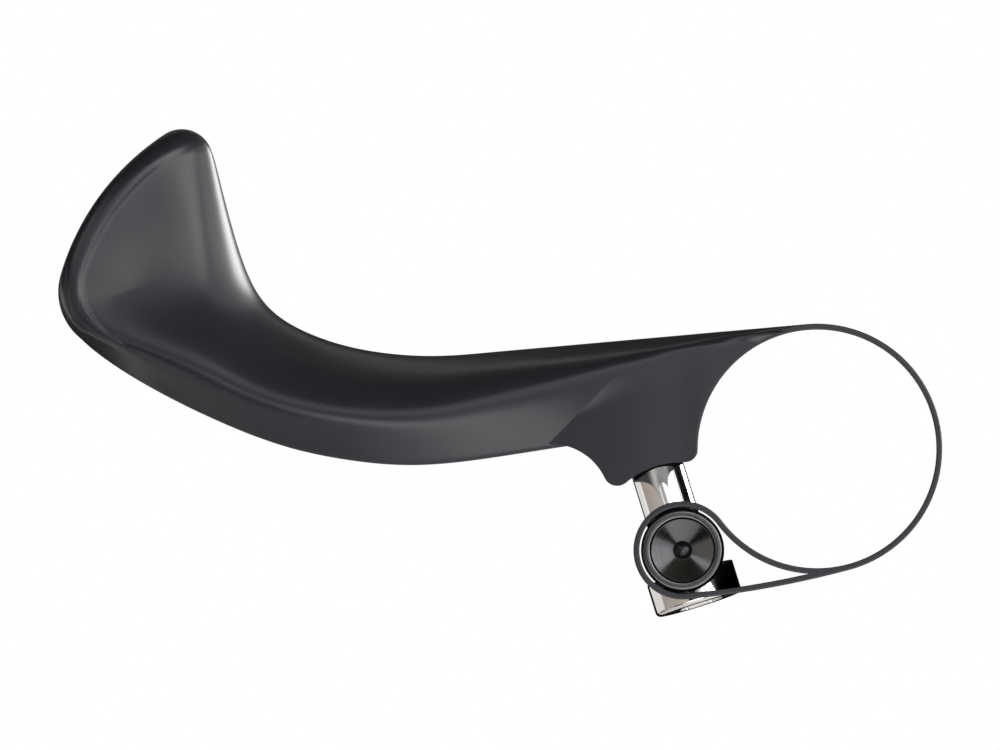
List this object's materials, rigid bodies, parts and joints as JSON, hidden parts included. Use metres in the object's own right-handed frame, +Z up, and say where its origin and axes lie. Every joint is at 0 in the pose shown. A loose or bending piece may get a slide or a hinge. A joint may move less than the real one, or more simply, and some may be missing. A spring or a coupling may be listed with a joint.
{
  "type": "inner bar end",
  "caption": "Twisted thumb and palm horn for a bicycle handlebar, moulded in one with a thin bar strap that a screw through a cross barrel pulls tight.",
  "frame": {"origin": "on the handlebar's axis at the middle of the clamp's width", "axes": "+Y along the handlebar, +Z up, and the horn points towards -X"},
  "size_m": [0.0823, 0.0186, 0.0454],
  "materials": {
    "moulding": "satin moulded fibre-filled nylon",
    "barrel": "turned and black anodised",
    "screw": "bright plated",
    "insert": "turned"
  },
  "bodies": {
    "root": {"horn_body": "moulding", "barrel_pin": "barrel", "clamp_screw": "screw", "threaded_insert": "insert"}
  },
  "joints": []
}
